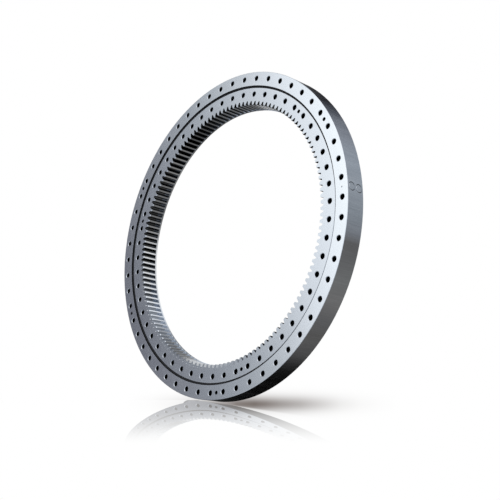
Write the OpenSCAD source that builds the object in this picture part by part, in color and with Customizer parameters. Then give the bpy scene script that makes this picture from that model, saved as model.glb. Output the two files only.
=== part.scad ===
// Slewing ring bearing with an internal gear.
// Two rows of balls run in four-point contact raceways between a plain outer
// ring and a geared inner ring. The axis of rotation is Z. The inner ring's
// back face lies on z = 0 and both front faces look along +Z. Angles are
// counted from +X towards +Y.

/* [Rings] */
// Outside diameter of the outer ring
outer_od = 2085; // [2075:1:2110]
// Height of each ring, face to face
ring_h = 130; // [130:1:140]
// How far the outer ring's front face stands proud of the inner ring's
step_h = 9; // [8.5:0.5:10]
// Turned chamfer on the outer edges of both rings
edge_c = 2; // [1:0.25:3]

/* [Bolt holes] */
// Number of bolt holes in each ring
bolt_n = 54; // [48:6:54]
// Diameter of each bolt hole
bolt_d = 33; // [26:1:33]
// Bolt circle diameter of the outer ring
outer_pcd = 2000; // [1996:1:2004]
// Bolt circle diameter of the inner ring
inner_pcd = 1800; // [1797:1:1803]
// Chamfer at the mouth of each bolt hole
hole_c = 2.5; // [0.5:0.25:3]
// Core diameter of the lifting and jacking threads
jack_d = 24; // [20:0.5:26]
// Depth of the lifting and jacking threads
jack_l = 60; // [40:1:70]
// Diameter of the index pin hole in the outer ring
index_d = 21; // [16:0.5:24]
// Depth of the index pin hole
index_l = 40; // [30:1:60]

/* [Raceways] */
// Diameter of the circle through the ball centres
ball_circle_d = 1900; // [1898:1:1902]
// Ball diameter
ball_d = 40; // [38:0.5:40]
// Balls in each row
ball_n = 120; // [100:1:120]
// Distance between the two rows
row_gap = 60; // [58:1:60]
// Clearance between a ball and its raceway
race_gap = 0.7; // [0.5:0.1:0.9]
// Offset of each gothic raceway arc from the ball centre
race_shift = 1; // [0.8:0.1:1.1]
// Plain land diameter of the inner ring
inner_land_d = 1896; // [1895:0.5:1896]
// Plain land diameter of the outer ring
outer_land_d = 1904; // [1904:0.5:1905]

/* [Spacers] */
// Outside diameter of a spacer
spacer_d = 30; // [26:1:32]
// Length of a spacer along the row
spacer_l = 19; // [16:0.5:20]
// Diameter of the grease hole through a spacer
spacer_hole_d = 8; // [4:0.5:12]

/* [Internal gear] */
// Number of teeth
teeth = 140; // [138:1:140]
// Module
gear_m = 12; // [12:0.01:12.1]
// Diameter over the tooth tips
tip_d = 1656; // [1652:1:1660]
// Diameter over the tooth roots
root_d = 1710; // [1706:1:1712]
// Radius in the root corners of the tooth spaces
root_fillet = 4; // [2:0.25:4.5]
// Face width of the teeth, cut in from the front face
face_w = 100; // [80:1:105]
// Turned chamfer across the front ends of the tooth tips
tooth_c = 4; // [1:0.5:5]
// How far the plain land behind the teeth stands inside the tooth tips
land_gap = 2; // [1:0.25:3]
// Angle of the first tooth space
gear_phase = 0.6; // [0:0.01:2.57]
// Diameter of the locating recess in the back face
recess_d = 1720; // [1716:1:1730]
// Depth of the locating recess
recess_h = 19; // [12:1:22]

/* [Seals] */
// Height of each seal groove
seal_h = 4; // [3.5:0.1:4.2]
// Depth of each seal groove
seal_depth = 6; // [5:0.1:7]
// Gap between a relaxed seal lip and the land it wipes
lip_gap = 0.8; // [0.6:0.1:1.2]
// Land diameter that the front seal wipes, on the inner ring
front_wipe_d = 1882; // [1880:0.5:1884]
// Land diameter that the back seal wipes, in the outer ring
back_wipe_d = 1918; // [1917:0.5:1920]

/* [Loading plugs] */
// Diameter of a ball loading plug
plug_d = 46; // [46:0.5:50]
// Angle of both loading plugs, moved to the middle of a gap between bolts
plug_angle = 290; // [285:1:300]
// Large end diameter of the taper pins that lock the plugs
pin_d = 10; // [8:0.5:12]
// Length of a taper pin
pin_l = 54; // [44:1:54]

/* [Lubrication] */
// Diameter of the long grease channels
channel_d = 7; // [6:0.5:8]
// Diameter of the cross holes from a channel to the raceways
feed_d = 5; // [4:0.5:5.5]
// Diameter of the pocket around each grease nipple
pocket_d = 26; // [22:1:30]
// Depth of the pocket around each grease nipple
pocket_h = 17; // [17:0.5:20]

/* [Hidden] */

ring_fn = 240;                      // facets round everything turned about Z
over = 1;                           // how far a cutter runs past a face
fit_gap = 0.05;                     // radial gap round plugs, pins and threads

// heights
z_back = step_h;                    // back face of the outer ring
z_front = step_h + ring_h;          // front face of the outer ring
z_mid = (z_back + z_front) / 2;
z_rows = [z_mid + row_gap / 2, z_mid - row_gap / 2];
front_groove_z = z_front - 10.5;    // lower side of each seal groove
back_groove_z = 12;

// radii
outer_r = outer_od / 2;
ball_r = ball_d / 2;
ball_circle_r = ball_circle_d / 2;
inner_land_r = inner_land_d / 2;
outer_land_r = outer_land_d / 2;
front_wipe_r = front_wipe_d / 2;
back_wipe_r = back_wipe_d / 2;
outer_bolt_r = outer_pcd / 2;
inner_bolt_r = inner_pcd / 2;

// angles
bolt_pitch = 360 / bolt_n;

// middle of the gap between bolts that holds an angle
function gap_middle(angle) = (floor(angle / bolt_pitch + 0.001) + 0.5) * bolt_pitch;

outer_jack_angles = [for (a = [76, 196, 316]) gap_middle(a)];
inner_jack_angles = [for (a = [90, 210, 330]) gap_middle(a)];
index_angle = gap_middle(129);
// an angle on a bolt takes the gap before it
plug_gap_angle = gap_middle(plug_angle - 1);
nipple_angles = [for (a = [42.5, 135.5, 222.5, 309.5]) gap_middle(a)];
outlet_angles = [for (a = [3, 89, 176, 269]) gap_middle(a)];

steel = [0.66, 0.69, 0.73];
bright = [0.80, 0.82, 0.85];
rubber = [0.06, 0.06, 0.07];
nylon = [0.93, 0.91, 0.84];
brass = "goldenrod";

// places children at an angle and radius round the axis
module polar(angle, radius) {
    rotate([0, 0, angle]) translate([radius, 0, 0]) children();
}

// ---------- raceways and holes ----------

race_r = ball_r + race_gap + race_shift;
race_offset = race_shift / sqrt(2); // radial and axial part of the arc offset

// gothic groove for one row: side = 1 in the outer ring, -1 in the inner ring
module race_groove(z, side) {
    for (up = [-1, 1])
        rotate_extrude($fn = ring_fn)
            translate([ball_circle_r - side * race_offset, z + up * race_offset])
                circle(r = race_r, $fn = 96);
}

groove_over = 2;                    // how far a seal groove cutter clears the land

// seal groove with its lower inside corner at a radius and height
module seal_groove(radius, z) {
    rotate_extrude($fn = ring_fn)
        translate([radius, z]) square([seal_depth + groove_over, seal_h]);
}

// one bolt hole through a ring with its back face at z, chamfered at each mouth
module bolt_hole(z) {
    chamfer_d = bolt_d + 4 * hole_c;
    translate([0, 0, z - over]) cylinder(d = bolt_d, h = ring_h + 2 * over, $fn = 48);
    translate([0, 0, z + ring_h - hole_c])
        cylinder(d1 = bolt_d, d2 = chamfer_d, h = 2 * hole_c, $fn = 48);
    translate([0, 0, z - hole_c])
        cylinder(d1 = chamfer_d, d2 = bolt_d, h = 2 * hole_c, $fn = 48);
}

// blind hole with a drill point, sunk from height z
module blind_hole(d, z, depth) {
    point_h = d * 0.25;
    translate([0, 0, z - depth]) cylinder(d = d, h = depth + over, $fn = 48);
    translate([0, 0, z - depth - point_h])
        cylinder(d1 = 0, d2 = d, h = point_h, $fn = 48);
}

// bolt holes and jacking threads of a ring with its back face at z
module ring_holes(radius, z, jack_angles) {
    for (i = [0 : bolt_n - 1])
        polar(i * bolt_pitch, radius) bolt_hole(z);
    for (a = jack_angles)
        polar(a, radius) blind_hole(jack_d, z + ring_h, jack_l);
}

// ---------- outer ring ----------

mouth_c = 1.5;                      // chamfer at the inner edges of both faces
back_wipe_h = 10;                   // height of the land that the back seal wipes
back_wipe_c = 1;                    // chamfer from that land's step to the plain land

// plain section of the outer ring, as radius and height
module outer_section() {
    polygon([
        [back_wipe_r + mouth_c, z_back],
        [outer_r - edge_c, z_back],
        [outer_r, z_back + edge_c],
        [outer_r, z_front - edge_c],
        [outer_r - edge_c, z_front],
        [outer_land_r + mouth_c, z_front],
        [outer_land_r, z_front - mouth_c],
        [outer_land_r, z_back + back_wipe_h + back_wipe_c],
        [outer_land_r + back_wipe_c, z_back + back_wipe_h],
        [back_wipe_r, z_back + back_wipe_h],
        [back_wipe_r, z_back + mouth_c]
    ]);
}

// the outer ring before anything is drilled
module outer_blank() {
    difference() {
        rotate_extrude($fn = ring_fn) outer_section();
        for (z = z_rows) race_groove(z, 1);
        seal_groove(outer_land_r - groove_over, front_groove_z);
    }
}

feed_start_r = ball_circle_r + ball_r - 4;  // cross holes start inside the raceway
nipple_thread_d = 10;
nipple_thread_l = 9;                // depth below the pocket floor
outlet_thread_d = 12;
outlet_thread_l = 10;

// cross holes and long channel of one grease point, at the bolt circle
module grease_channel() {
    translate([outer_bolt_r, 0, z_back - over])
        cylinder(d = channel_d, h = z_rows[0] - z_back + over, $fn = 32);
    for (z = z_rows)
        translate([feed_start_r, 0, z]) rotate([0, 90, 0])
            cylinder(d = feed_d, h = outer_bolt_r - feed_start_r, $fn = 32);
}

module outer_ring() {
    color(steel) difference() {
        outer_blank();
        ring_holes(outer_bolt_r, z_back, outer_jack_angles);
        polar(index_angle, outer_bolt_r) blind_hole(index_d, z_front, index_l);
        // ball loading bores and their taper pin holes
        rotate([0, 0, plug_gap_angle]) for (z = z_rows) {
            plug_cylinder(z, plug_d / 2, outer_r + 5);
            pin_hole(z);
        }
        for (a = nipple_angles) rotate([0, 0, a]) {
            grease_channel();
            translate([outer_bolt_r, 0, z_back - over])
                cylinder(d = pocket_d, h = pocket_h + over, $fn = 64);
            translate([outer_bolt_r, 0, z_back])
                cylinder(d = nipple_thread_d, h = pocket_h + nipple_thread_l, $fn = 32);
        }
        for (a = outlet_angles) rotate([0, 0, a]) {
            grease_channel();
            translate([outer_bolt_r, 0, z_back - over])
                cylinder(d = outlet_thread_d, h = outlet_thread_l + over, $fn = 32);
        }
    }
}

// ---------- inner ring ----------

tip_r = tip_d / 2;
root_r = root_d / 2;
recess_r = recess_d / 2;
recess_c = 2;                       // chamfer at the mouth of the recess
bore_r = tip_r - land_gap;          // plain land behind the teeth
wipe_z = z_rows[0] + ball_r;        // foot of the land that the front seal wipes

// plain section of the inner ring, as radius and height
module inner_section() {
    polygon([
        [recess_r + recess_c, 0],
        [inner_land_r - edge_c, 0],
        [inner_land_r, edge_c],
        [inner_land_r, wipe_z],
        [front_wipe_r, wipe_z],
        [front_wipe_r, ring_h - mouth_c],
        [front_wipe_r - mouth_c, ring_h],
        [tip_r + tooth_c, ring_h],
        [bore_r, ring_h - tooth_c - land_gap],
        [bore_r, recess_h],
        [recess_r, recess_h],
        [recess_r, recess_c]
    ]);
}

pressure_angle = 20;
base_r = teeth * gear_m / 2 * cos(pressure_angle);

// involute function, in degrees
function involute(angle) = tan(angle) * 180 / PI - angle;
// half the angle of a tooth space at a radius
function space_half(radius) =
    90 / teeth + involute(pressure_angle) - involute(acos(base_r / radius));
function on_flank(radius) =
    radius * [cos(space_half(radius)), sin(space_half(radius))];

// the flank next to the root corner is taken as the line through two points on it
flank_inner = on_flank(root_r - 3.8);
flank_outer = on_flank(root_r - 1.8);
flank_dir = (flank_outer - flank_inner) / norm(flank_outer - flank_inner);
flank_normal = [flank_dir[1], -flank_dir[0]];

// corner arc between the flank and the root, tangent to both
corner_x = root_r - root_fillet;
corner_y = flank_inner[1]
    + (root_fillet - (corner_x - flank_inner[0]) * flank_normal[0]) / flank_normal[1];
corner_start = atan2(-flank_normal[1], -flank_normal[0]);
corner_steps = 2;
flank_step = 12;                    // from the tooth tip to the next flank point

// one side of a tooth space, from the tip outwards to the root
space_side = concat(
    [for (i = [0, 1]) on_flank(tip_r + i * flank_step)],
    [for (i = [0 : corner_steps]) let (t = corner_start * (1 - i / corner_steps))
        [corner_x + root_fillet * cos(t), corner_y + root_fillet * sin(t)]]);
// one tooth space from flank to flank, in the direction of rising angle
space_outline = concat(
    [for (p = space_side) [p[0], -p[1]]],
    [for (i = [len(space_side) - 1 : -1 : 0]) space_side[i]]);

function turned(p, angle) =
    [p[0] * cos(angle) - p[1] * sin(angle), p[0] * sin(angle) + p[1] * cos(angle)];
// the whole gear outline, with every tooth space joined across the tooth tips
gear_outline = [for (i = [0 : teeth - 1]) for (p = space_outline)
    turned(p, i * 360 / teeth + gear_phase)];

// the inner ring with its raceways and holes, before the teeth are cut
module gear_ring_blank() {
    difference() {
        rotate_extrude($fn = ring_fn) inner_section();
        for (z = z_rows) race_groove(z, -1);
        seal_groove(inner_land_r - seal_depth, back_groove_z);
        ring_holes(inner_bolt_r, 0, inner_jack_angles);
    }
}

module inner_gear_ring() {
    color(steel) difference() {
        gear_ring_blank();
        // tooth spaces, open at the front and closed by a plain land at the back
        translate([0, 0, ring_h - face_w])
            linear_extrude(face_w + over) polygon(gear_outline);
    }
}

// ---------- rolling elements ----------

ball_pitch = 360 / ball_n;
cup_gap = 0.7;                      // clearance between a ball and a spacer's hollow end

module ball_row(z) {
    for (i = [0 : ball_n - 1])
        rotate([0, 0, (i + 0.5) * ball_pitch]) translate([ball_circle_r, 0, z])
            sphere(r = ball_r, $fn = 48);
}

// lies along Y between two balls, hollowed at both ends
module spacer() {
    ball_y = ball_circle_r * sin(ball_pitch / 2);
    difference() {
        rotate([90, 0, 0])
            cylinder(d = spacer_d, h = spacer_l, center = true, $fn = 48);
        rotate([90, 0, 0])
            cylinder(d = spacer_hole_d, h = spacer_l + 2 * over, center = true, $fn = 32);
        for (side = [-1, 1]) translate([0, side * ball_y, 0])
            sphere(r = ball_r + cup_gap, $fn = 64);
    }
}

module spacer_row(z) {
    for (i = [0 : ball_n - 1])
        rotate([0, 0, i * ball_pitch])
            translate([ball_circle_r * cos(ball_pitch / 2), 0, z]) spacer();
}

module upper_balls() { color(bright) ball_row(z_rows[0]); }
module lower_balls() { color(bright) ball_row(z_rows[1]); }
module upper_spacers() { color(nylon) spacer_row(z_rows[0]); }
module lower_spacers() { color(nylon) spacer_row(z_rows[1]); }

// ---------- seals ----------

seal_fit = 0.3;                     // gap between a seal and its groove
seal_neck = 0.8;                    // how far the seal's root stands out of the groove

// held in the outer ring, its lip leans down onto the inner ring
module front_seal() {
    z = front_groove_z;
    root = outer_land_r + seal_depth - seal_fit;
    neck = outer_land_r - seal_neck;
    lip = front_wipe_r + lip_gap;
    // radius, height
    color(rubber) rotate_extrude($fn = ring_fn) polygon([
        [root, z + seal_fit], [root, z + seal_h - seal_fit],
        [neck, z + seal_h - seal_fit], [outer_land_r - 2.5, z + seal_h - 0.9],
        [lip + 3.7, z + 0.9], [lip, z - 0.3],
        [lip, z - 1.9], [lip + 2.7, z - 1.6],
        [outer_land_r - 4, z - 0.3], [neck, z + seal_fit]
    ]);
}

// held in the inner ring, its lip leans down onto the outer ring
module back_seal() {
    z = back_groove_z;
    root = inner_land_r - seal_depth + seal_fit;
    neck = inner_land_r + seal_neck;
    lip = back_wipe_r - lip_gap;
    // radius, height
    color(rubber) rotate_extrude($fn = ring_fn) polygon([
        [root, z + seal_fit], [neck, z + seal_fit],
        [inner_land_r + 2.5, z - 0.4], [inner_land_r + 6.5, z - 0.8],
        [lip, z - 0.2], [lip, z + 1.4],
        [lip - 2.7, z + 1.6], [inner_land_r + 4, z + 3],
        [neck, z + seal_h - seal_fit], [root, z + seal_h - seal_fit]
    ]);
}

// ---------- loading plugs and their pins ----------

plug_start_r = ball_circle_r - 5;
plug_end_r = outer_r - 2;           // where the plug's end chamfer starts
plug_c = 2.5;
pin_slope = 1 / 100;                // radius over length, a taper of 1 in 50
pin_sink = 0.3;                     // big end below the ring's face
pin_hole_extra = 0.4;               // hole depth past the pin's small end

// radial cylinder on one row's centre, from inside the raceway out to end_r
module plug_cylinder(z, r, end_r) {
    translate([plug_start_r, 0, z]) rotate([0, 90, 0])
        cylinder(r = r, h = end_r - plug_start_r, $fn = 64);
}

// leaves children at the front for the upper row, mirrors them to the back for the lower
module facing_row(z) {
    if (z > z_mid) children();
    else translate([0, 0, 2 * z_mid]) mirror([0, 0, 1]) children();
}

// taper pin form with its big end at the front face: grow widens it, deeper
// extends the small end and above moves the big end past the face
module pin_cone(grow, deeper, above) {
    face_r = pin_d / 2 + grow;
    depth = pin_l + deeper;
    translate([outer_bolt_r, 0, z_front - depth])
        cylinder(r1 = face_r - depth * pin_slope, r2 = face_r + above * pin_slope,
            h = depth + above, $fn = 48);
}

module pin_hole(z) {
    facing_row(z) pin_cone(grow = fit_gap, deeper = pin_hole_extra, above = over);
}

module taper_pin(z) {
    rotate([0, 0, plug_gap_angle])
        facing_row(z) pin_cone(grow = 0, deeper = 0, above = -pin_sink);
}

// trimmed by the ring's blank, so that it carries the raceway on its inner end
module loading_plug(z) {
    r = plug_d / 2 - fit_gap;
    intersection() {
        outer_blank();
        rotate([0, 0, plug_gap_angle]) difference() {
            union() {
                plug_cylinder(z, r, plug_end_r);
                translate([plug_end_r, 0, z]) rotate([0, 90, 0])
                    cylinder(r1 = r, r2 = r - plug_c, h = plug_c, $fn = 64);
            }
            pin_hole(z);
        }
    }
}

module upper_loading_plug() { color(steel) loading_plug(z_rows[0]); }
module lower_loading_plug() { color(steel) loading_plug(z_rows[1]); }
module upper_taper_pin() { color(bright) taper_pin(z_rows[0]); }
module lower_taper_pin() { color(bright) taper_pin(z_rows[1]); }

// ---------- grease nipples ----------

// the nipples sit head down in pockets in the outer ring's back face
z_seat = z_back + pocket_h;         // pocket floor
z_tip = z_seat - 15.5;              // lower end of the head
z_ball = z_tip + 3.2;
z_crimp = z_seat + 7;               // upper end of the spring chamber
check_ball_r = 1.5;
shank_l = 8;
shank_overlap = 0.5;                // shank sunk into the hexagon
nipple_hex_h = 6;
nipple_hex_af = 11;                 // across flats

// radius, height of the neck and head
nipple_head = [
    [0, z_tip], [1.8, z_tip], [3.25, z_tip + 1.6], [3.25, z_tip + 3.2],
    [2.45, z_tip + 4.6], [2.45, z_tip + 6], [3.9, z_tip + 8.2],
    [3.9, z_seat - 5], [0, z_seat - 5]
];
// radius, height of the inlet, ball seat, spring chamber and crimped outlet
nipple_bore = [
    [0, z_tip - 1], [1, z_tip - 1], [1, z_tip + 1.65],
    [2, z_tip + 2.65], [2, z_crimp], [1.3, z_crimp + 0.3],
    [1.3, z_crimp + 3], [0, z_crimp + 3]
];

module grease_nipple(angle) {
    color(brass) polar(angle, outer_bolt_r) difference() {
        union() {
            // threaded shank
            translate([0, 0, z_seat - shank_overlap])
                cylinder(r = nipple_thread_d / 2 - fit_gap, h = shank_l + shank_overlap,
                    $fn = 48);
            translate([0, 0, z_seat - nipple_hex_h])
                cylinder(d = nipple_hex_af / cos(30), h = nipple_hex_h, $fn = 6);
            rotate_extrude($fn = 48) polygon(nipple_head);
        }
        rotate_extrude($fn = 48) polygon(nipple_bore);
    }
}

module nipple_ball(angle) {
    color(bright) rotate([0, 0, angle]) translate([outer_bolt_r, 0, z_ball])
        sphere(r = check_ball_r, $fn = 48);
}

// coil of round wire between the check ball and the crimp
wire_r = 0.22;
coil_r = 1.3;
coil_z0 = z_ball + check_ball_r * 0.5 + 0.45;
coil_z1 = z_crimp - 0.3;
coils = 7;
coil_steps = 10;                    // wire sections in each turn
coil_sides = 5;                     // sides of the wire
coil_n = coils * coil_steps;
end_rise = 0.12;                    // share of the height taken by each end turn

// share of the height at step i: a closer turn at each end, evenly pitched between
function coil_rise(i) = let (turn = i / coil_steps)
    turn < 1 ? end_rise * turn
    : turn > coils - 1 ? 1 - end_rise * (coils - turn)
    : end_rise + (turn - 1) / (coils - 2) * (1 - 2 * end_rise);
function coil_centre(i) = let (a = i * 360 / coil_steps)
    [coil_r * cos(a), coil_r * sin(a), coil_z0 + (coil_z1 - coil_z0) * coil_rise(i)];
function coil_ring(i) = let (a = i * 360 / coil_steps)
    [for (k = [0 : coil_sides - 1]) let (b = k * 360 / coil_sides)
        coil_centre(i) + wire_r * [cos(b) * cos(a), cos(b) * sin(a), sin(b)]];

coil_points = [for (i = [0 : coil_n]) each coil_ring(i)];
// start cap, two triangles for each side of each section, end cap
coil_faces = concat(
    [[for (k = [0 : coil_sides - 1]) k]],
    [for (i = [0 : coil_n - 1]) for (k = [0 : coil_sides - 1])
        let (next = (k + 1) % coil_sides, p = i * coil_sides, q = p + coil_sides)
            each [[p + k, q + k, q + next], [p + k, q + next, p + next]]],
    [[for (k = [coil_sides - 1 : -1 : 0]) coil_n * coil_sides + k]]);

module nipple_spring(angle) {
    color(bright) polar(angle, outer_bolt_r)
        polyhedron(points = coil_points, faces = coil_faces, convexity = 4);
}

module grease_nipple_1() { grease_nipple(nipple_angles[0]); }
module grease_nipple_2() { grease_nipple(nipple_angles[1]); }
module grease_nipple_3() { grease_nipple(nipple_angles[2]); }
module grease_nipple_4() { grease_nipple(nipple_angles[3]); }
module nipple_ball_1() { nipple_ball(nipple_angles[0]); }
module nipple_ball_2() { nipple_ball(nipple_angles[1]); }
module nipple_ball_3() { nipple_ball(nipple_angles[2]); }
module nipple_ball_4() { nipple_ball(nipple_angles[3]); }
module nipple_spring_1() { nipple_spring(nipple_angles[0]); }
module nipple_spring_2() { nipple_spring(nipple_angles[1]); }
module nipple_spring_3() { nipple_spring(nipple_angles[2]); }
module nipple_spring_4() { nipple_spring(nipple_angles[3]); }

// ---------- grease outlets ----------

outlet_sink = 0.5;                  // plug's lower end above the back face
outlet_c = 0.75;
outlet_l = 8.5;
socket_af = 5;                      // across flats
socket_l = 4.5;

// screw plugs with a hexagon socket in the grease outlets
module grease_outlet_plugs() {
    plug_outer_d = outlet_thread_d - 2 * fit_gap;
    color(bright) for (a = outlet_angles)
        rotate([0, 0, a]) translate([outer_bolt_r, 0, z_back + outlet_sink]) difference() {
            union() {
                cylinder(d1 = plug_outer_d - 2 * outlet_c, d2 = plug_outer_d,
                    h = outlet_c, $fn = 48);
                translate([0, 0, outlet_c])
                    cylinder(d = plug_outer_d, h = outlet_l - outlet_c, $fn = 48);
            }
            translate([0, 0, -over])
                cylinder(d = socket_af / cos(30), h = socket_l + over, $fn = 6);
        }
}

outer_ring();
inner_gear_ring();
upper_balls();
lower_balls();
upper_spacers();
lower_spacers();
front_seal();
back_seal();
upper_loading_plug();
lower_loading_plug();
upper_taper_pin();
lower_taper_pin();
grease_outlet_plugs();
grease_nipple_1();
grease_nipple_2();
grease_nipple_3();
grease_nipple_4();
nipple_ball_1();
nipple_ball_2();
nipple_ball_3();
nipple_ball_4();
nipple_spring_1();
nipple_spring_2();
nipple_spring_3();
nipple_spring_4();
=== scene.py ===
"""A slewing bearing: outer ring, toothed inner ring, balls, seals, plugs and grease nipples.

The bearing's axis is Z and its front face looks to +Z. It stands on its rim: the floor is a plane
along Z that touches the rim near -X, and the camera's up is close to +X. Lengths are in metres.
"""
import math

import bpy
from mathutils import Matrix, Vector


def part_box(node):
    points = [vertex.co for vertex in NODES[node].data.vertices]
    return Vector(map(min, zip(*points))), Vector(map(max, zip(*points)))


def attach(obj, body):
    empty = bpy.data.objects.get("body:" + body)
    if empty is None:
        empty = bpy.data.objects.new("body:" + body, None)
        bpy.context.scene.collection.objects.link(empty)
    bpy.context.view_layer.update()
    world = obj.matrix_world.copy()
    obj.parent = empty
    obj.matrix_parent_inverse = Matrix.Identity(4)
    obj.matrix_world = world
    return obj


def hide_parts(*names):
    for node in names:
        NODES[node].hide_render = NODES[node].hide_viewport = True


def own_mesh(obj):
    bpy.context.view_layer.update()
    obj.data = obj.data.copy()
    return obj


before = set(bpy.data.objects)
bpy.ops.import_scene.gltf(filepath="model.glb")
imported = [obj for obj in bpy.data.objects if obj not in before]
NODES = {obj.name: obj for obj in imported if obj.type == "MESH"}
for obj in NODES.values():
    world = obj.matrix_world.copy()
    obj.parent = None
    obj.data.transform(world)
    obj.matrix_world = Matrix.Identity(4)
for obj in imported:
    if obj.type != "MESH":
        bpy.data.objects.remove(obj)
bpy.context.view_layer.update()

SCENE = bpy.context.scene

# ---------------------------------------------------------------- node helpers


class Wire:
    """A node's output. Arithmetic with + - * / ** adds math nodes that keep the order of terms."""

    def __init__(self, socket):
        self.socket = socket
        self.tree = socket.id_data

    def clamped(self):
        """The same output, with its math node held between 0 and 1."""
        self.socket.node.use_clamp = True
        return self


def new_node(tree, kind, inputs=None, **props):
    """A new node, with its inputs set to values or linked to wires."""
    made = tree.nodes.new(kind)
    for name, value in props.items():
        setattr(made, name, value)
    for key, value in (inputs or {}).items():
        socket = made.inputs[key]
        if isinstance(value, Wire):
            tree.links.new(value.socket, socket)
        else:
            socket.default_value = (*value, 1) if socket.type == "RGBA" else value
    return made


def add(tree, kind, inputs=None, output=0, **props):
    """A new node's output as a wire."""
    return Wire(new_node(tree, kind, inputs, **props).outputs[output])


def tree_of(terms):
    return next(term.tree for term in terms if isinstance(term, Wire))


def calculate(operation, *terms):
    """A math node of wires and numbers."""
    return add(tree_of(terms), "ShaderNodeMath", dict(enumerate(terms)), operation=operation)


for method, operation in (
    ("add", "ADD"), ("sub", "SUBTRACT"), ("mul", "MULTIPLY"), ("truediv", "DIVIDE"), ("pow", "POWER"),
):
    setattr(Wire, f"__{method}__", lambda a, b, kind=operation: calculate(kind, a, b))
    setattr(Wire, f"__r{method}__", lambda a, b, kind=operation: calculate(kind, b, a))


def vector_math(operation, *terms):
    """A vector math node. Scaling takes its factor on input 3; a dot product gives a number."""
    slots = (0, 3) if operation == "SCALE" else (0, 1)
    output = "Value" if operation == "DOT_PRODUCT" else "Vector"
    inputs = dict(zip(slots, terms))
    return add(tree_of(terms), "ShaderNodeVectorMath", inputs, output, operation=operation)


def length(x, y):
    return calculate("SQRT", x * x + y * y)


def split(vector):
    """The x, y and z of a vector."""
    return [Wire(s) for s in new_node(vector.tree, "ShaderNodeSeparateXYZ", {0: vector}).outputs]


def combine(x, y, z):
    return add(x.tree, "ShaderNodeCombineXYZ", {0: x, 1: y, 2: z})


def smooth(value, start, end, low=0.0, high=1.0):
    """A smooth step from low where value is start to high where it is end."""
    inputs = {"Value": value, "From Min": start, "From Max": end, "To Min": low, "To Max": high}
    return add(value.tree, "ShaderNodeMapRange", inputs, interpolation_type="SMOOTHSTEP")


def ramp(value, stops, start=0.0, end=1.0):
    """A colour ramp over value from start to end. stops: (value, (r, g, b))."""
    inputs = {"Value": value, "From Min": start, "From Max": end}
    position = add(value.tree, "ShaderNodeMapRange", inputs, clamp=True)
    made = new_node(value.tree, "ShaderNodeValToRGB", {"Fac": position})
    elements = made.color_ramp.elements
    while len(elements) > 1:
        elements.remove(elements[-1])
    for i, (stop, colour) in enumerate(stops):
        place = (stop - start) / (end - start)
        element = elements[0] if i == 0 else elements.new(place)
        element.position = place
        element.color = (*colour, 1)
    return Wire(made.outputs["Color"])


def levels(table):
    """Ramp stops of plain grey from (place, level) rows."""
    return [(place, (level, level, level)) for place, level in table]


def mix(factor, a, b):
    """A colour from a at factor 0 to b at factor 1."""
    return add(factor.tree, "ShaderNodeMix", {0: factor, 6: a, 7: b}, output=2, data_type="RGBA")


def pick(face, on_wall, on_face):
    """A number that is on_wall where face is 0 and on_face where it is 1."""
    return add(face.tree, "ShaderNodeMix", {0: face, 2: on_wall, 3: on_face}, data_type="FLOAT")


def noise(vector, scale, detail, rough, distortion=0.0):
    inputs = {"Vector": vector, "Scale": scale, "Detail": detail, "Roughness": rough}
    return add(vector.tree, "ShaderNodeTexNoise", {**inputs, "Distortion": distortion})


def vary(texture, by):
    """A texture centred on zero and spread over a range of by."""
    return (texture - 0.5) * by


def azimuth(x, y):
    """The direction round the axis, from -180 to 180 degrees."""
    return calculate("ARCTAN2", y, x) * (180 / math.pi)


def turn(angle, stops):
    """A ramp all the way round the axis. stops: (angle from 0 to 360, colour)."""
    stops = sorted(((stop - 360 if stop > 180 else stop), colour) for stop, colour in stops)
    (first, first_colour), (last, last_colour) = stops[0], stops[-1]
    share = (180 - last) / (first + 360 - last)
    edge = tuple(p + (q - p) * share for p, q in zip(last_colour, first_colour))
    inside = [stop for stop in stops if -180 < stop[0] < 180]
    return ramp(angle, [(-180, edge)] + inside + [(180, edge)], -180, 180)


def new_material(name):
    material = bpy.data.materials.new(name)
    material.use_nodes = True
    material.node_tree.nodes.clear()
    return material


def surface(colour, roughness, height, strength, distance, **others):
    """A Principled shader with a bump of the given height map, wired to the output."""
    tree = colour.tree
    bump_inputs = {"Height": height, "Strength": strength, "Distance": distance}
    inputs = {
        "Base Color": colour,
        "Roughness": roughness,
        "Normal": add(tree, "ShaderNodeBump", bump_inputs),
        **{name.replace("_", " "): value for name, value in others.items()},
    }
    shader = add(tree, "ShaderNodeBsdfPrincipled", inputs)
    new_node(tree, "ShaderNodeOutputMaterial", {"Surface": shader})


def object_place(tree):
    return add(tree, "ShaderNodeTexCoord", output="Object")


# ---------------------------------------------------------------- ring steel

STEEL = (0.66, 0.69, 0.73)
GEAR_STEEL = (0.61, 0.64, 0.685)
# Near-black painted shade, for the tooth spaces and the drilled hole walls
PAINTED_SHADE_DARK = (0.030, 0.031, 0.031)
# Near-black for the step beside the front seal: painted shade together with grease
GREASE_AND_SHADE_DARK = (0.010, 0.010, 0.011)
SEALANT = (0.05, 0.055, 0.06)

PLUG_ANGLE = math.radians(290.0)
PLUG_BOXES = [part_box(name) for name in ("upper_loading_plug", "lower_loading_plug")]
PLUG_HEIGHTS = [(low.z + high.z) / 2 for low, high in PLUG_BOXES]

# Inner and outer radius of the band that holds the drilled holes
GEAR_HOLES = (0.875, 0.925)
OUTER_HOLES = (0.975, 1.025)
HOLE_FADE = 0.003
HOLE_SHADE = 0.92  # how much painted shade the hole walls carry

# Painted shade in the tooth spaces, by direction round the axis in world space: (degrees, level)
SPACE_SHADE = [
    (0, 0.88), (12, 0.86), (24, 0.78), (34, 0.86), (44, 0.95), (56, 0.88), (68, 0.82), (78, 0.74),
    (92, 0.84), (102, 0.90), (108, 0.84), (114, 0.64), (121, 0.38), (128, 0.14), (137, 0.06),
    (150, 0.14), (168, 0.20), (176, 0.0), (205, 0.0), (214, 0.85), (345, 0.93),
]


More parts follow.
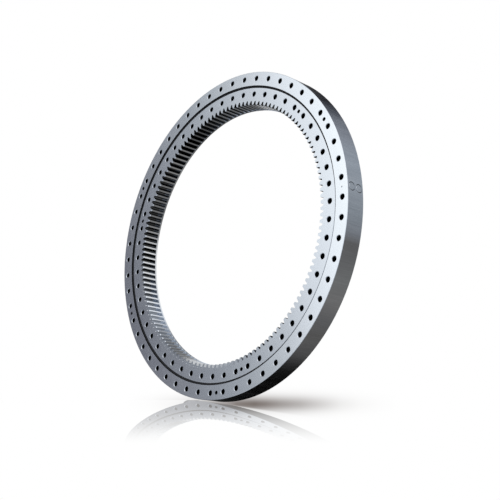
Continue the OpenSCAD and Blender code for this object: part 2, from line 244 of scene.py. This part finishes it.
class Polar:
    """A point on the bearing: radius, direction from the axis, z, and how far it faces along Z."""

    def __init__(self, tree):
        self.place = object_place(tree)
        self.x, self.y, self.z = split(self.place)
        self.radius = length(self.x, self.y)
        self.cosine = self.x / self.radius
        self.sine = self.y / self.radius
        normal = add(tree, "ShaderNodeNewGeometry", output="True Normal")
        axial_normal = calculate("ABSOLUTE", split(normal)[2])
        self.face = smooth(axial_normal, 0.85, 0.95)
        self.wall = smooth(axial_normal, 0.5, 0.3)

    def turned(self, fine):
        """Coordinates for marks that run round the axis, as a lathe leaves them."""
        return combine(self.cosine * 3.0, self.sine * 3.0, (self.radius + self.z * 0.37) * fine)

    def axial(self, across, along):
        """Coordinates for marks that run along the axis on a round wall."""
        return combine(self.cosine * across, self.sine * across, self.z * along)

    def plug_distance(self, height):
        """Distance from the axis of the plug at this z, and the share of it round the rim."""
        round_rim = self.y * math.cos(PLUG_ANGLE) - self.x * math.sin(PLUG_ANGLE)
        distance = length(round_rim, self.z - height)
        return distance, calculate("ABSOLUTE", round_rim) / distance


def tooth_space_shade(point, colour):
    """Painted shade in the gear's tooth spaces: a near-black colour set by the direction round the
    axis in world space, so it stays with the light as the ring turns. It fades out towards the floor.
    """
    position = add(point.z.tree, "ShaderNodeNewGeometry", output="Position")
    x, y, _ = split(position)
    shade_level = turn(azimuth(x, y), levels(SPACE_SHADE))
    band = smooth(point.radius, 0.8295, 0.8320) * smooth(point.radius, 0.8600, 0.8580)
    band = band * (point.wall * smooth(point.z, 0.0285, 0.0295))
    return mix(band * shade_level, colour, PAINTED_SHADE_DARK)


def step_grease_and_shade(point, colour):
    """Painted shade on the step beside the front seal, where the seal groove lies in shadow; the dark
    band stands for a film of grease as well.
    """
    front = smooth(point.z, 0.1325, 0.1330)
    film = smooth(point.radius, 0.9560, 0.9545) * ((1.0 - point.face) * front)
    return mix(film, colour, GREASE_AND_SHADE_DARK)


def plug_sealant(point, colour):
    """Sealant in the joint round each loading plug on the rim."""
    on_rim = smooth(point.radius, 1.030, 1.035)
    for height in PLUG_HEIGHTS:
        distance, share = point.plug_distance(height)
        line = smooth(distance, 0.0215, 0.0225) * smooth(distance, 0.0268, 0.0255)
        line = line * on_rim * smooth(share, 0.3, 0.8, low=0.25, high=0.9)
        colour = mix(line, colour, SEALANT)
    return colour


def ring_steel(name, tint, face_rough, wall_rough, holes, details):
    """Machined steel: turning marks on the faces, axial streaks on the round walls, smudges, and
    painted shade on the drilled hole walls.
    """
    material = new_material(name)
    point = Polar(material.node_tree)
    rings = noise(point.turned(fine=900.0), scale=1.0, detail=3.0, rough=0.6)
    bands = noise(point.turned(fine=90.0), scale=1.0, detail=2.0, rough=0.5)
    streaks = noise(point.axial(across=150.0, along=2.5), scale=1.0, detail=4.0, rough=0.65)
    broad = noise(point.axial(across=26.0, along=3.0), scale=1.0, detail=3.0, rough=0.55)
    smudge = noise(point.place, scale=9.0, detail=4.0, rough=0.6, distortion=0.4)
    fine = noise(point.place, scale=260.0, detail=3.0, rough=0.6)

    on_face = vary(rings, by=0.10) + vary(bands, by=0.05)
    on_wall = vary(streaks, by=0.34) + vary(broad, by=0.22)
    brightness = pick(point.face, on_wall, on_face) + vary(smudge, by=0.06) + 1.0
    colour = vector_math("SCALE", tint, brightness)
    for detail in details:
        colour = detail(point, colour)

    # painted shade: the drilled hole walls are coloured near-black where the holes lie in shade
    start, end = holes
    hole_shade_mask = smooth(point.radius, start, start + HOLE_FADE)
    hole_shade_mask = hole_shade_mask * smooth(point.radius, end, end - HOLE_FADE)
    colour = mix(hole_shade_mask * point.wall * HOLE_SHADE, colour, PAINTED_SHADE_DARK)

    on_face = face_rough + vary(smudge, by=0.10)
    on_wall = wall_rough + vary(broad, by=0.12)
    roughness = (pick(point.face, on_wall, on_face) + vary(fine, by=0.06)).clamped()
    height = pick(point.face, streaks, rings) + fine * 0.3
    surface(colour, roughness, height, strength=0.12, distance=0.0004, Metallic=1.0)
    return material


# ---------------------------------------------------------------- other materials


def small_steel(name, tint, rough, scale=140.0, marks=0.08):
    """Ground or turned metal for small pieces. marks: how much its brightness varies."""
    material = new_material(name)
    place = object_place(material.node_tree)
    coarse = noise(place, scale, detail=4.0, rough=0.6)
    fine = noise(place, scale * 9, detail=2.0, rough=0.5)
    brightness = 1.0 + vary(coarse, by=marks * 2) + vary(fine, by=marks)
    colour = vector_math("SCALE", tint, brightness)
    roughness = (rough + vary(coarse, by=0.14)).clamped()
    surface(colour, roughness, fine, strength=0.08, distance=0.0002, Metallic=1.0)
    return material


def rubber(name):
    """Black nitrile with a fine moulded grain, matt, with a trace of grease."""
    material = new_material(name)
    place = object_place(material.node_tree)
    grain = noise(place, scale=900.0, detail=3.0, rough=0.6)
    film = noise(place, scale=22.0, detail=3.0, rough=0.5)
    colour = ramp(grain, [(0.3, (0.008, 0.008, 0.009)), (0.7, (0.016, 0.016, 0.018))])
    roughness = (0.6 + vary(film, by=0.3)).clamped()
    surface(colour, roughness, grain, strength=0.25, distance=0.0003, Specular_IOR_Level=0.15)
    return material


def nylon(name):
    """Natural moulded nylon, unevenly tinted by grease."""
    material = new_material(name)
    place = object_place(material.node_tree)
    cloud = noise(place, scale=60.0, detail=4.0, rough=0.6)
    grain = noise(place, scale=1200.0, detail=2.0, rough=0.5)
    colour = ramp(cloud, [(0.3, (0.62, 0.55, 0.38)), (0.7, (0.80, 0.74, 0.58))])
    roughness = (0.42 + vary(cloud, by=0.2)).clamped()
    surface(colour, roughness, grain, strength=0.15, distance=0.0002)
    return material


BALL_TINT = (0.72, 0.73, 0.75)
MATERIALS = {
    "outer_ring_steel": ring_steel(
        "outer_ring_machined", STEEL, face_rough=0.15, wall_rough=0.13,
        holes=OUTER_HOLES, details=(step_grease_and_shade, plug_sealant),
    ),
    "gear_ring_steel": ring_steel(
        "gear_ring_machined", GEAR_STEEL, face_rough=0.18, wall_rough=0.13,
        holes=GEAR_HOLES, details=(tooth_space_shade,),
    ),
    "ball_steel": small_steel("ball_ground", BALL_TINT, rough=0.12, scale=60.0, marks=0.04),
    "plug_steel": small_steel("plug_turned", (0.62, 0.65, 0.69), rough=0.16, scale=120.0),
    "pin_steel": small_steel("pin_ground", (0.30, 0.32, 0.35), rough=0.30, scale=200.0),
    "outlet_plug_steel": small_steel(
        "outlet_plug_zinc", (0.60, 0.61, 0.60), rough=0.34, scale=260.0, marks=0.12
    ),
    "nipple_brass": small_steel(
        "nipple_brass", (0.80, 0.62, 0.30), rough=0.24, scale=300.0, marks=0.1
    ),
    "check_ball_steel": small_steel("check_ball", BALL_TINT, rough=0.12, scale=800.0, marks=0.04),
    "spring_steel": small_steel(
        "spring_wire", (0.50, 0.51, 0.53), rough=0.3, scale=900.0, marks=0.1
    ),
    "seal_rubber": rubber("seal_nitrile"),
    "spacer_nylon": nylon("spacer_nylon_grease"),
}
for piece in NODES.values():
    for slot in piece.material_slots:
        slot.material = MATERIALS[slot.material.name.split(".")[0]]

# ---------------------------------------------------------------- springs
# Each nipple's spring shortens as its check ball lifts; the rigid spring is hidden, and a copy of its
# mesh, with its own mesh data, is attached to the outer ring in its place.

for i in range(1, 5):
    rigid = "nipple_spring_%d" % i
    coil = bpy.data.objects.new("spring_coil_%d" % i, NODES[rigid].data.copy())
    SCENE.collection.objects.link(coil)
    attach(coil, "outer_ring")
    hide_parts(rigid)
    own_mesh(coil)

# ---------------------------------------------------------------- camera

RIGHT = Vector((0.21779, -0.64677, -0.73093))
UP = Vector((0.97456, 0.10348, 0.19882))
BACK = Vector((-0.05296, -0.75563, 0.65285))
FORWARD = -BACK
EYE = (-0.3659, -4.3444, 3.6304)

camera_data = bpy.data.cameras.new("Camera")
camera_data.lens = 64.11
camera_data.sensor_width = 36.0
camera_data.sensor_fit = "HORIZONTAL"
camera_data.clip_start = 0.05
camera_data.clip_end = 200.0
camera = bpy.data.objects.new("Camera", camera_data)
SCENE.collection.objects.link(camera)
turned_axes = Matrix((RIGHT, UP, BACK)).transposed().to_4x4()
camera.matrix_world = Matrix.Translation(EYE) @ turned_axes
SCENE.camera = camera

# ---------------------------------------------------------------- floor

WHITE = (1.0, 1.0, 1.0)
SHADOW_COLOUR = (0.05, 0.015, 0.0)
TOUCH_ANGLE = math.radians(186.0)
FLOOR_NORMAL = -Vector((math.cos(TOUCH_ANGLE), math.sin(TOUCH_ANGLE), 0.0))
FLOOR_REACH = 40.0
FLOOR_GAP = 0.0006  # clearance under the rim

# Below, a place in the view is given by its offset from the line of sight per unit ahead.
CONTACT = -0.16857592  # height of the contact line in the view
SHADOW_CENTRE, SHADOW_SPREAD = 0.0045, 0.0093  # below the contact line
# Strength of the shadow along the contact line: (place to the right, level)
SHADOW_PROFILE = [
    (-0.140, 0.0), (-0.112, 0.04), (-0.090, 0.13), (-0.067, 0.26), (-0.040, 0.52),
    (-0.015, 0.80), (0.005, 0.84), (0.018, 0.78), (0.034, 0.67), (0.057, 0.54),
    (0.079, 0.35), (0.102, 0.15), (0.124, 0.055), (0.147, 0.015), (0.170, 0.0),
]

ring_low, ring_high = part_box("outer_ring")
touch = -FLOOR_NORMAL * ring_high.x
touch.z = (ring_low.z + ring_high.z) / 2
touch_distance = (touch - camera.location).dot(FORWARD)


def make_floor():
    """A big square plane, seen by the camera only."""
    along = Vector((0, 0, 1)).cross(FLOOR_NORMAL).normalized()
    origin = touch - FLOOR_NORMAL * FLOOR_GAP
    corners = [
        tuple(origin + along * a * FLOOR_REACH + Vector((0, 0, b * FLOOR_REACH)))
        for a, b in ((-1, -1), (1, -1), (1, 1), (-1, 1))
    ]
    mesh = bpy.data.meshes.new("floor")
    mesh.from_pydata(corners, [], [(0, 1, 2, 3)])
    mesh.update()
    floor = bpy.data.objects.new("floor", mesh)
    SCENE.collection.objects.link(floor)
    for rays in ("diffuse", "glossy", "transmission", "shadow"):
        setattr(floor, "visible_" + rays, False)
    return floor


def contact_shadow(across, below, main_view):
    """A soft shadow along the contact line, bell-shaped across it."""
    profile = ramp(across, levels(SHADOW_PROFILE), SHADOW_PROFILE[0][0], SHADOW_PROFILE[-1][0])
    bell = (below - SHADOW_CENTRE) / SHADOW_SPREAD
    bell = math.e ** (bell * bell * -1.0)
    return profile * bell * main_view


def mirror_normal(view_place, sight, below, position):
    """The normal that mirrors the ring flipped about the contact line and flattened."""
    lift = below * (2.45 + below * 20.6)  # how far above its own place each point looks
    target = vector_math("ADD", view_place, vector_math("SCALE", UP, lift))
    target = vector_math("SCALE", target, touch_distance)
    target = vector_math("ADD", target, camera.location)
    beam = vector_math("NORMALIZE", vector_math("SUBTRACT", target, position))
    return vector_math("NORMALIZE", vector_math("SUBTRACT", beam, sight))


def floor_pale():
    """White floor with a soft shadow and a faint reflection, clear from behind."""
    material = new_material("floor_pale")
    tree = material.node_tree
    geometry = new_node(tree, "ShaderNodeNewGeometry").outputs
    position = Wire(geometry["Position"])
    incoming = Wire(geometry["Incoming"])

    # where the point lies in the main camera's view
    sight = vector_math("SCALE", incoming, -1.0)
    ahead = vector_math("DOT_PRODUCT", sight, FORWARD)
    view_place = vector_math("SCALE", sight, 1.0 / ahead)
    across = vector_math("DOT_PRODUCT", view_place, RIGHT)
    below = CONTACT - vector_math("DOT_PRODUCT", view_place, UP)

    # shadow and reflection show only from the main camera's place
    to_eye = vector_math("SUBTRACT", camera.location, position)
    distance = vector_math("DOT_PRODUCT", to_eye, BACK)
    match = vector_math("DOT_PRODUCT", vector_math("NORMALIZE", to_eye), incoming)
    main_view = calculate("GREATER_THAN", match, 0.9999)

    shadow = contact_shadow(across, below, main_view)
    pale = mix(shadow, WHITE, SHADOW_COLOUR)
    lit = add(tree, "ShaderNodeEmission", {"Color": pale, "Strength": 1.0})
    normal = mirror_normal(view_place, sight, below, position)
    gloss_inputs = {"Color": WHITE, "Roughness": 0.0, "Normal": normal}
    gloss = add(tree, "ShaderNodeBsdfGlossy", gloss_inputs)

    # the reflection fades further down, and ends at the contact line
    amount = smooth(below, 0.008, 0.050, low=0.55, high=0.0) * main_view
    amount = amount * smooth(distance, touch_distance - 0.02, touch_distance - 0.3)
    amount = amount * calculate("GREATER_THAN", below, 0.0)
    body = add(tree, "ShaderNodeMixShader", {0: amount, 1: lit, 2: gloss})
    clear = add(tree, "ShaderNodeBsdfTransparent")
    backfacing = Wire(geometry["Backfacing"])
    shader = add(tree, "ShaderNodeMixShader", {0: backfacing, 1: body, 2: clear})
    new_node(tree, "ShaderNodeOutputMaterial", {"Surface": shader})
    return material


make_floor().data.materials.append(floor_pale())

# ---------------------------------------------------------------- studio


def grey(level, cool=1.0):
    """A neutral to slightly cool grey; warm where cool is negative."""
    return (level * (1 - 0.07 * cool), level * (1 - 0.02 * cool), level * (1 + 0.06 * cool))


def shown(*display_colour):
    """The light that makes ring steel show this 0 to 255 display colour when it mirrors it."""
    def linear(value):
        value /= 255
        return value / 12.92 if value <= 0.04045 else ((value + 0.055) / 1.055) ** 2.4
    return tuple(linear(value) / tint for value, tint in zip(display_colour, STEEL))


# A big softbox with a soft lower edge, mirrored in the front face: (level, colour)
SOFTBOX = [
    (0.00, grey(0.60)), (0.15, grey(0.35)), (0.30, grey(0.10)), (0.44, grey(0.06)),
    (0.50, (0.21, 0.21, 0.26)), (0.54, (0.31, 0.31, 0.33)), (0.57, (0.34, 0.36, 0.40)),
    (0.60, (0.47, 0.50, 0.54)), (0.63, (0.54, 0.58, 0.60)), (0.66, (0.85, 0.86, 0.88)),
    (0.69, (1.19, 1.24, 1.30)), (0.72, (1.27, 1.30, 1.32)), (0.76, (1.50, 1.53, 1.50)),
    (0.82, (1.80, 1.90, 1.87)), (1.30, (2.05, 2.15, 2.15)),
]
# What bevels and other views mirror where z is above 0: (x, colour)
AROUND = [
    (-1.0, grey(0.60)), (-0.3, grey(0.60)), (0.2, grey(0.95)),
    (0.7, grey(1.35, 0.3)), (1.0, grey(1.35, 0.3)),
]
# Just under z = 0: (degrees round the axis, colour)
SKIRT = [
    (0, grey(0.9)), (60, grey(0.35)), (120, grey(0.15)),
    (180, grey(0.2)), (240, grey(0.5)), (300, grey(1.1, 0.4)),
]
# Further down, seen in the inner walls: (degrees, brightness, coolness)
INNER = [
    (0, 1.15, 0.3), (8, 1.05, 0.2), (20, 0.55, 0.2), (28, 0.42, 0.2), (45, 0.33, 0.2),
    (68, 0.3, 0.3), (76, 1.15, 0.2), (97, 1.15, 0.2), (102, 0.4, 0.2), (108, 0.13, 0.2),
    (136, 0.13, 0.3), (150, 0.18, -0.5), (160, 0.13, -0.5), (182, 0.095, -0.5),
    (190, 0.14, -0.5), (200, 0.22, -0.7), (212, 0.31, -0.8), (228, 0.29, -0.8),
    (241, 0.22, -0.8), (256, 0.215, -0.6), (270, 0.23, -0.6), (280, 0.33, -0.7),
    (294, 0.8, -0.5), (300, 1, -0.5), (314, 1.02, -0.5), (344, 1.15, -0.3),
]
# Lowest, seen in the rim: (degrees, display red, green, blue), and one bright strip
RIM = [
    (2, 122, 128, 139), (15, 101, 107, 117), (28, 62, 66, 75), (40, 28, 28, 33),
    (48, 30, 30, 34), (69, 36, 36, 40), (104, 14, 14, 15), (121, 3, 3, 3), (142, 3, 3, 4),
    (163, 5, 5, 5), (176, 12, 12, 12), (185, 36, 36, 37), (194, 70, 70, 71), (203, 78, 78, 79),
    (212, 80, 80, 80), (224, 86, 87, 89), (238, 103, 103, 104), (255, 101, 103, 104),
    (272, 90, 91, 93), (283, 86, 86, 87), (289, 112, 117, 125), (302, 121, 129, 138),
    (322, 137, 145, 155), (340, 137, 146, 157), (351, 130, 138, 149),
]
RIM_STRIP = [(76, grey(0.95, 0.2)), (98, grey(0.95, 0.2))]


def studio_light(direction):
    """The light from each direction, stacked by z."""
    x, y, z = split(direction)
    angle = azimuth(x, y)
    softbox = ramp(z + x * 0.4 - y * 0.05, SOFTBOX, 0.0, 1.3)
    around = ramp(x, AROUND, -1.0, 1.0)
    top = mix(smooth(y, 0.25, 0.50) * smooth(x, -0.50, -0.30), around, softbox)
    inner = turn(angle, [(stop, grey(level, cool)) for stop, level, cool in INNER])
    rim = turn(angle, [(stop, shown(*colour)) for stop, *colour in RIM] + RIM_STRIP)
    side = mix(smooth(z, -0.655, -0.630), rim, inner)
    side = mix(smooth(z, -0.48, -0.30), side, turn(angle, SKIRT))
    return mix(smooth(z, 0.0, 0.30), side, top)


def make_world():
    """The studio for lighting and blurred reflections; plain white where seen directly."""
    world = bpy.data.worlds.new("studio")
    SCENE.world = world
    world.use_nodes = True
    tree = world.node_tree
    tree.nodes.clear()
    light = studio_light(add(tree, "ShaderNodeTexCoord", output="Generated"))
    studio = add(tree, "ShaderNodeBackground", {"Color": light, "Strength": 1.0})
    white = add(tree, "ShaderNodeBackground", {"Color": WHITE, "Strength": 1.0})
    path = new_node(tree, "ShaderNodeLightPath").outputs
    rays = [Wire(path[name]) for name in ("Is Camera Ray", "Is Singular Ray")]
    seen = calculate("MAXIMUM", *rays)
    shader = add(tree, "ShaderNodeMixShader", {0: seen, 1: studio, 2: white})
    new_node(tree, "ShaderNodeOutputWorld", {"Surface": shader})


make_world()
SCENE.view_settings.view_transform = "Standard"
SCENE.view_settings.look = "None"
